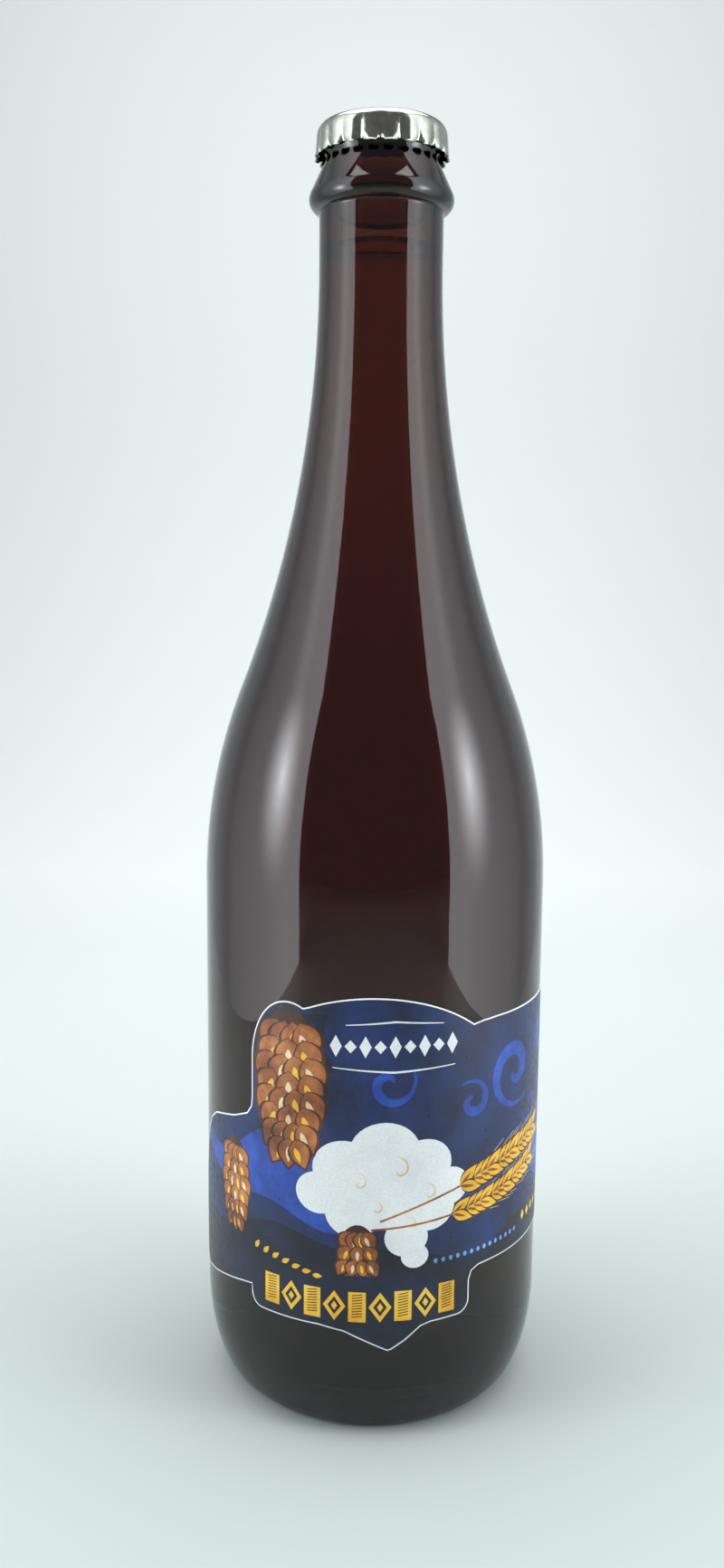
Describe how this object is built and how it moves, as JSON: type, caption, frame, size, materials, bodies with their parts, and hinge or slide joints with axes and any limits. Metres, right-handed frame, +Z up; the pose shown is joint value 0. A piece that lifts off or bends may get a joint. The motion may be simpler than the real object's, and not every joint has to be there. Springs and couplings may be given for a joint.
{
  "type": "beer bottle",
  "caption": "Tall amber glass beer bottle with long shoulders, a collar below the mouth, a silver crown cap, beer up to the neck and a die-cut wrap label.",
  "frame": {"origin": "centre of the bottle's base, on the surface it stands on", "axes": "+Z up along the bottle's axis; the middle of the label's front faces -Y; the label runs on round towards +X"},
  "size_m": [0.0821, 0.0821, 0.2973],
  "materials": {
    "glass": "clear amber-brown glass, polished",
    "beer": "clear liquid",
    "cap": "bright tinplate with light scuffs",
    "label": "printed, semi-gloss coated"
  },
  "bodies": {
    "root": {"bottle": "glass", "beer": "beer", "crown_cap": "cap", "label": "label"}
  },
  "joints": []
}
